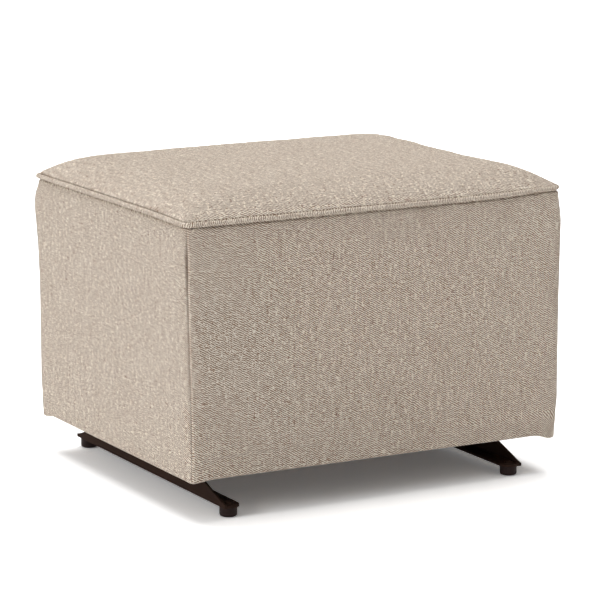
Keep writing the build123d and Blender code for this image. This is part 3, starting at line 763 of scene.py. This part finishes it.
# the front left corner's notch is wider, and the left side curves in to it
NEAR_CORNER = {
    ("left", 1): Corner(1.3, 3.2, 2.4, 2.6),
    ("front", 0): Corner(1.3, 3.4, 1.1, 0.4),
}


def side_swell(panel, along, z):
    """How far the cover stands off its flat face: pulled in under the welt, full below it."""
    below = SEAM_Z - z
    half_length = panel.half_length
    near = hump(half_length - abs(along), 0.0, CORNER_REACH)
    amount, centre = panel.bulges[1 if along > 0 else 0]
    swell = 0.6 * MM * lopsided(below, 40.0 * MM)
    swell += amount * near * MM * lopsided(below, centre * MM)
    full = panel.fullness[1 if along > 0 else 0] * MM * near
    full *= smooth_step(z - HEM_Z, 0.0, 60.0 * MM)
    swell += full * smooth_step(below, -6.0 * MM, 45.0 * MM)
    tuck = (3.6 + 0.4 * near) * MM * (1.0 - smooth_step(below, 0.4 * MM, 2.8 * MM))
    pucker = 0.25 * MM * ripple(70.0 * along, 3.0 * z, half_length * 40.0)
    pucker *= math.exp(-max(0.0, below) / (16.0 * MM))
    drift = 0.7 * MM * ripple(6.5 * along, 6.5 * z, half_length * 90.0)
    drift *= smooth_step(below, 0.0, 60.0 * MM) * smooth_step(z - HEM_Z, 0.0, 50.0 * MM)
    return swell - tuck + pucker + drift - FACE_BACK


def neighbour_stand(panel, side, z):
    """How far the next side's cover stands off its own face, at the corner the two share."""
    neighbour = PANELS[(PANELS.index(panel) + int(side)) % len(PANELS)]
    return max(0.0, side_swell(neighbour, -side * neighbour.half_length, z))


def hem_level(panel, along):
    """Height of the bottom edge: it droops beside the corners, and hangs between them."""
    to_corner = panel.half_length - abs(along)
    droop = panel.droops[1 if along > 0 else 0] * MM * hump(to_corner, 4.0 * MM, 15.0 * MM)
    if panel.name == "front":
        tilt = 1.2 * MM * smooth_step(abs(along), 0.0, panel.half_length * 0.8)
        return HEM_Z - droop + (tilt if along < 0 else -tilt)
    return HEM_Z - droop - HEM_SAG[panel.name] * (1.0 - hump(to_corner, 0.0, 20.0 * MM))


def spread(stations, count_per_step):
    """Stations along a line, with the steps between them divided."""
    made = [stations[0]]
    for (start, stop), count in zip(zip(stations, stations[1:]), count_per_step):
        made += [start + (stop - start) * k / count for k in range(1, count + 1)]
    return made


def panel_columns(straight):
    """Stations along a side, closer together near the corners. Past straight, 1 is a whole roll."""
    end = spread([straight - EDGE_BAND, straight, straight + 1.0], (12, 5))
    middle = spread([EDGE_BAND - straight, straight - EDGE_BAND], (90,))
    return [-station for station in reversed(end)] + middle[1:-1] + end


def panel_grid(panel, levels, off_face):
    """A grid laid over one side. levels are its rows, from the seam to the hem's edge."""
    straight = panel.half_length - bpy.context.scene.ottoman_sizes.corner_roll
    columns = panel_columns(straight)
    bm = bmesh.new()
    bmesh.ops.create_grid(
        bm, x_segments=len(columns) - 1, y_segments=len(levels) - 1, size=1.0
    )
    dark = bm.verts.layers.float.new("seam_shade")
    weave = bm.loops.layers.uv.new("weave")
    place = {}
    for vertex in bm.verts:
        i = round((vertex.co.x + 1.0) / 2.0 * (len(columns) - 1))
        j = round((1.0 - vertex.co.y) / 2.0 * (len(levels) - 1))
        place[vertex] = (i, j)
    drops = [0.0]
    for (_, z_one, in_one), (_, z_two, in_two) in zip(levels, levels[1:]):
        drops.append(drops[-1] + math.hypot(z_two - z_one, in_two - in_one))
    along = {}
    for vertex, (i, j) in place.items():
        spot, along[vertex] = panel_point(panel, columns[i], *levels[j], off_face, straight)
        vertex.co = spot
    # painted shade: the cloth's colour darkens into the corner seams, where the seam's groove would
    # lie in shade
    width = SIDE_SHADE if panel.sideways else END_SHADE
    ends = {}
    for vertex, (i, j) in place.items():
        if i in (0, len(columns) - 1):
            ends[(i > 0, j)] = abs(along[vertex])
    for vertex, (i, j) in place.items():
        to_end = ends[(along[vertex] > 0.0, j)] - abs(along[vertex])
        vertex[dark] = hump(to_end, 0.0, width)
    for face in bm.faces:
        for loop in face.loops:
            run = along[loop.vert] + CLOTH_STEP * PANELS.index(panel)
            loop[weave].uv = (run, -drops[place[loop.vert][1]])
    bmesh.ops.recalc_face_normals(bm, faces=bm.faces)
    centre = panel.out * panel.distance + Vector((0.0, 0.0, 0.2))
    nearest = min(bm.faces, key=lambda face: (face.calc_center_median() - centre).length)
    if nearest.normal.dot(panel.out) < 0:
        bmesh.ops.reverse_faces(bm, faces=bm.faces)
    return bm, place, len(columns), len(levels)


def panel_point(panel, station, kind, z, inwards, off_face, straight):
    """One point of the skirt, and its distance along the cloth."""
    side = 1.0 if station > 0 else -1.0
    inner = off_face < 0.0
    corner = NEAR_CORNER.get((panel.name, 1 if station > 0 else 0), PLAIN_CORNER)
    roll = panel.half_length - straight
    limit = panel.half_length - (PADDING_BACK if inner else corner.back)
    if corner is PLAIN_CORNER and not inner:
        limit += neighbour_stand(panel, side, z)
    reach = abs(station) * (limit - roll) / straight
    if abs(station) > straight:
        reach = limit - roll + roll * (abs(station) - straight)
    to_end = limit - reach
    groove = 0.0 if inner else corner.depth * hump(to_end, 0.0, corner.width)
    soft = corner.soft * max(0.0, 1.0 - to_end / CORNER_CURVE) ** 2.2
    stand = side_swell(panel, side * reach, z) + off_face - groove - soft
    spot = panel.to_world(side * reach, panel.distance, 0.0)
    z += corner_lift(spot.x, spot.y) * smooth_step(z, SEAM_Z - LIFT_DEPTH, SEAM_Z)
    if kind == "hem":
        z += hem_level(panel, side * reach) - HEM_Z
    along, out = reach, panel.distance + stand
    if inwards > 0.0:
        inner_out, inner_run = HEM_INNER_Y, HEM_INNER_X
        if panel.sideways:
            inner_out, inner_run = HEM_INNER_X, HEM_INNER_Y
        share = min(1.0, inwards / (panel.distance - inner_out))
        goal = along * (inner_run - 0.5 * MM) / (panel.half_length + 2.0 * MM)
        along += (goal - along) * share
        out += (inner_out - out) * share
    return lean_out(panel.to_world(side * along, out, z)), side * reach


def skirt_levels(fold):
    """Rows (kind, height, how far in) from behind the cord, down the side and under the boards."""
    rows = [("top", SEAM_Z + 3.2 * MM, 2.2 * MM), ("top", SEAM_Z + 1.4 * MM, 1.0 * MM)]
    close = (0.0, 0.5, 1.0, 1.5, 2.0, 2.6, 3.6, 5.2, 7.5, 10.5, 13.5)
    rows += [("top", SEAM_Z - below * MM, 0.0) for below in close]
    top, low, count = SEAM_Z - 17.0 * MM, HEM_Z + fold + 30.0 * MM, 52
    rows += [("side", top + (low - top) * k / count, 0.0) for k in range(count + 1)]
    rows += [("hem", HEM_Z + fold + rest * MM, 0.0) for rest in (24.0, 18.0, 12.0, 6.0, 3.0)]
    for step in range(7):
        angle = step / 6 * math.pi / 2
        down, inwards = fold * math.sin(angle), fold * (1.0 - math.cos(angle))
        rows.append(("hem", HEM_Z + fold - down, inwards))
    rows += [("under", HEM_Z, inwards * MM) for inwards in (8.0, 12.0, 17.0, 22.0, 23.6)]
    return rows


class OTTOMAN_OT_skirt(bpy.types.Operator):
    """Make the four side covers with their corner seams and hem"""

    bl_idname = "ottoman.skirt"
    bl_label = "Side covers"

    def execute(self, context):
        sizes = context.scene.ottoman_sizes
        material = woven_cloth("cover_cloth_sides")
        levels = skirt_levels(sizes.fold_radius)
        for panel in PANELS:
            bm, place, columns, rows = panel_grid(panel, levels, 0.0)
            bm.verts.index_update()
            sewn = [
                v.index
                for v, (i, j) in place.items()
                if not (4 <= i < columns - 4 and 4 <= j < rows - 11)
            ]
            cover = finish_piece(bm, f"skirt_{panel.name}", material)
            settle(cover, sewn, 0.5, 0.002, 0.9 * MM)
            thicken(cover, sizes.cloth)
            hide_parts(f"cover_{panel.name}")
            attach(cover, BODY)
        return {"FINISHED"}


class OTTOMAN_OT_padding(bpy.types.Operator):
    """Make the wadding between the frame boards and the side covers"""

    bl_idname = "ottoman.padding"
    bl_label = "Side wadding"

    def execute(self, context):
        material = fibre_wadding()
        low, high, count = HEM_Z + 8.0 * MM, DECK_TOP - 1.0 * MM, 40
        levels = [("side", high + (low - high) * k / count, 0.0) for k in range(count + 1)]
        off_face = -context.scene.ottoman_sizes.cloth - 0.4 * MM
        for panel in PANELS:
            bm, _, _, _ = panel_grid(panel, levels, off_face)
            padding = finish_piece(bm, f"padding_{panel.name}", material)
            board = BOARD_X if panel.sideways else BOARD_Y
            thicken(padding, panel.distance - board - FACE_BACK - 3.0 * MM)
            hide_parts(f"wadding_{panel.name}")
            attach(padding, BODY)
        return {"FINISHED"}


# ------------------------------------------------------------------ welt
# radius of the cord's corners in millimetres: back right, front right, front left, back left
WELT_BENDS = (12.0, 14.0, 10.0, 5.0)


class OTTOMAN_OT_welt(bpy.types.Operator):
    """Make the covered cord round the top edge"""

    bl_idname = "ottoman.welt"
    bl_label = "Welt cord"

    def execute(self, context):
        radius = context.scene.ottoman_sizes.welt / 2.0
        low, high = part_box("welt_cord")
        bends = [bend * MM for bend in WELT_BENDS]
        wide, deep = high.x - radius - 0.3 * MM, high.y - radius - 0.3 * MM
        level = (low.z + high.z) / 2.0
        lengths = []
        for number, half in enumerate((wide, deep, wide, deep)):
            straight = 2.0 * half - bends[number - 1] - bends[number]
            lengths += [straight, bends[number] * math.pi / 2.0]
        total = sum(lengths)
        around, along = 14, 640
        bm = bmesh.new()
        bmesh.ops.create_grid(bm, x_segments=along, y_segments=around, size=1.0)
        weave = bm.loops.layers.uv.new("weave")
        for face in bm.faces:
            for loop in face.loops:
                loop[weave].uv = (
                    (loop.vert.co.x + 1.0) / 2.0 * total,
                    (loop.vert.co.y + 1.0) / 2.0 * math.tau * radius,
                )
        for vertex in bm.verts:
            s = (vertex.co.x + 1.0) / 2.0 * total
            angle = (vertex.co.y + 1.0) / 2.0 * math.tau
            spot, out = self.path_point(s % total, wide, deep, bends, lengths)
            ring = math.tau * s / total
            east, north = math.cos(ring), math.sin(ring)
            wave_in = 0.35 * MM * ripple(18.0 * east, 18.0 * north, 2.0)
            wave_up = 0.45 * MM * ripple(15.0 * east, 15.0 * north, 8.0)
            wave_up += corner_lift(spot.x, spot.y)
            thick = radius * (1.0 + 0.03 * ripple(24.0 * east, 24.0 * north, 5.0))
            vertex.co = lean_out(
                spot
                + out * (thick * math.cos(angle) + min(0.0, wave_in))
                + Vector((0.0, 0.0, level + thick * math.sin(angle) + wave_up))
            )
        bmesh.ops.remove_doubles(bm, verts=bm.verts, dist=1e-6)
        bmesh.ops.recalc_face_normals(bm, faces=bm.faces)
        material = woven_cloth("cover_cloth_welt", math.radians(45))
        welt = finish_piece(bm, "welt_piping", material)
        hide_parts("welt_cord")
        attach(welt, BODY)
        return {"FINISHED"}

    @staticmethod
    def path_point(s, wide, deep, bends, lengths):
        """A point of the cord's path, from the back's left end on, and the way out there."""
        turns = ((0, 1), (1, 0), (0, -1), (-1, 0))
        halves = ((wide, deep), (deep, wide), (wide, deep), (deep, wide))
        for number, ((out_x, out_y), (run_half, face)) in enumerate(zip(turns, halves)):
            out, run = Vector((out_x, out_y, 0.0)), Vector((out_y, -out_x, 0.0))
            straight, arc = lengths[2 * number], lengths[2 * number + 1]
            bend = bends[number]
            if s <= straight:
                return run * (s + bends[number - 1] - run_half) + out * face, out
            s -= straight
            if s <= arc:
                angle = s / bend
                way = out * math.cos(angle) + run * math.sin(angle)
                centre = run * (run_half - bend) + out * (face - bend)
                return centre + way * bend, way
            s -= arc
        return run * (run_half - bend) + out * (face - bend) + run * bend, run


# ------------------------------------------------------------------ CAD nodes
class OTTOMAN_OT_finishes(bpy.types.Operator):
    """Give every CAD part its finish"""

    bl_idname = "ottoman.finishes"
    bl_label = "Frame and mechanism finishes"

    def execute(self, context):
        paint = painted_steel()
        zinc = metal("zinc_plate", tinted("zinc"), 0.28, 0.44, 0.00005)
        races = metal("bearing_polish", tinted("bearing"), 0.14, 0.26, 0.00002)
        pine_x = sawn_wood("pine_end_boards", tinted("pine"), "x", 34.0)
        pine_y = sawn_wood("pine_side_boards", tinted("pine"), "y", 34.0)
        pine_z = sawn_wood("pine_corner_blocks", tinted("pine"), "z", 28.0)
        deck = sawn_wood("plywood_deck", tinted("plywood"), "x", 52.0)
        plastic, stops = moulded_plastic(), rubber()
        corners = [f"{end}_{side}" for end in ("front", "back") for side in ("left", "right")]
        finishes = {
            paint: ["floor_rail_left", "floor_rail_right", "foot_rivets", "cross_tubes"]
            + ["tie_bar_left", "tie_bar_right", "carrier_left", "carrier_right"]
            + [f"upright_{c}" for c in corners]
            + [f"link_arm_{c}" for c in corners],
            plastic: ["foot_glides"],
            zinc: ["upright_bolts", "upright_nuts", "upper_pivot_bolts"]
            + ["upper_pivot_nuts", "upper_pivot_spacers", "carrier_screws", "deck_screws"]
            + ["lower_pivot_nuts", "lower_pivot_spacers", "hem_staples"],
            races: [f"link_bearings_{c}" for c in corners],
            stops: ["travel_stops"],
            pine_x: ["frame_board_front", "frame_board_back"],
            pine_y: ["frame_board_left", "frame_board_right"],
            pine_z: ["corner_blocks"],
            deck: ["deck_board"],
        }
        for material, names in finishes.items():
            for name in names:
                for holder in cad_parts[name].material_slots:
                    holder.material = material
        return {"FINISHED"}


# ------------------------------------------------------------------ studio
# where the camera stands, the way from its subject to it, and its lens in millimetres
CAMERA_PLACE = Vector((-2.0356, -3.6389, 1.0730))
CAMERA_BACK = Vector((-0.48004, -0.85469, 0.19766))
CAMERA_LENS = 181.14
# each lamp's name, the way towards it, its strength and its width in degrees
LAMPS = (
    ("overhead", (0.05, 0.26, 1.0), 2.15, 46.0),
    ("left_side", (-0.97, -0.10, 0.44), 1.1, 24.0),
)
FLOOR_HALF, FLOOR_GAP = 40.0, 0.3 * MM
SKY_LIGHT, SKY_SEEN = 0.38, 1.0  # the sky's strength as a light, and as the camera sees it


class OTTOMAN_OT_stage(bpy.types.Operator):
    """Set up the floor, the light and the camera"""

    bl_idname = "ottoman.stage"
    bl_label = "Studio"

    def execute(self, context):
        scene = context.scene
        bm = bmesh.new()
        bmesh.ops.create_grid(bm, x_segments=2, y_segments=2, size=FLOOR_HALF)
        bmesh.ops.translate(bm, vec=(0.0, 0.0, -FLOOR_GAP), verts=bm.verts)
        floor = finish_piece(bm, "studio_floor", studio_floor())

        world = bpy.data.worlds.new("studio")
        scene.world = world
        world.use_nodes = True
        tree = world.node_tree
        sky = tree.nodes["Background"]
        path = tree.nodes.new("ShaderNodeLightPath")
        level = tree.nodes.new("ShaderNodeMapRange")
        most = [tree.nodes.new("ShaderNodeMath") for _ in range(2)]
        for step in most:
            step.operation = "MAXIMUM"
        tree.links.new(path.outputs["Is Camera Ray"], most[0].inputs[0])
        tree.links.new(path.outputs["Is Glossy Ray"], most[0].inputs[1])
        tree.links.new(most[0].outputs[0], most[1].inputs[0])
        tree.links.new(path.outputs["Is Transmission Ray"], most[1].inputs[1])
        tree.links.new(most[1].outputs[0], level.inputs[0])
        level.inputs["To Min"].default_value = SKY_LIGHT
        level.inputs["To Max"].default_value = SKY_SEEN
        tree.links.new(level.outputs[0], sky.inputs["Strength"])
        sky.inputs["Color"].default_value = (1.0, 1.0, 1.0, 1.0)

        for name, towards, strength, spread_angle in LAMPS:
            lamp = bpy.data.lights.new(name, "SUN")
            lamp.energy = strength
            lamp.angle = math.radians(spread_angle)
            lit = bpy.data.objects.new(name, lamp)
            scene.collection.objects.link(lit)
            lit.rotation_euler = Vector(towards).to_track_quat("Z", "Y").to_euler()

        lens = bpy.data.cameras.new("view")
        lens.lens = CAMERA_LENS
        lens.sensor_fit = "HORIZONTAL"
        lens.sensor_width = 36.0
        lens.clip_end = 200.0
        camera = bpy.data.objects.new("view", lens)
        scene.collection.objects.link(camera)
        turned = CAMERA_BACK.to_track_quat("Z", "Y").to_matrix().to_4x4()
        camera.matrix_world = Matrix.Translation(CAMERA_PLACE) @ turned
        scene.camera = camera

        scene.view_settings.view_transform = "Standard"
        return {"FINISHED"}


# ------------------------------------------------------------------ add-on
class OTTOMAN_PT_panel(bpy.types.Panel):
    """The ottoman's operators and settings"""

    bl_idname = "OTTOMAN_PT_panel"
    bl_label = "Glider ottoman"
    bl_space_type = "VIEW_3D"
    bl_region_type = "UI"
    bl_category = "Ottoman"

    def draw(self, context):
        for step in STEPS:
            self.layout.operator(step.bl_idname)
        for group in (context.scene.ottoman_sizes, context.scene.ottoman_colours):
            box = self.layout.box()
            for key in group.__annotations__:
                box.prop(group, key)


STEPS = (
    OTTOMAN_OT_seat,
    OTTOMAN_OT_skirt,
    OTTOMAN_OT_padding,
    OTTOMAN_OT_welt,
    OTTOMAN_OT_finishes,
    OTTOMAN_OT_stage,
)
CLASSES = (OttomanSizes, OttomanColours, *STEPS, OTTOMAN_PT_panel)


def register():
    for item in CLASSES:
        bpy.utils.register_class(item)
    bpy.types.Scene.ottoman_sizes = PointerProperty(type=OttomanSizes)
    bpy.types.Scene.ottoman_colours = PointerProperty(type=OttomanColours)


def unregister():
    del bpy.types.Scene.ottoman_colours
    del bpy.types.Scene.ottoman_sizes
    for item in reversed(CLASSES):
        bpy.utils.unregister_class(item)


def main():
    register()
    for step in STEPS:
        name = step.bl_idname.split(".")[1]
        getattr(bpy.ops.ottoman, name)()


if __name__ == "__main__":
    main()
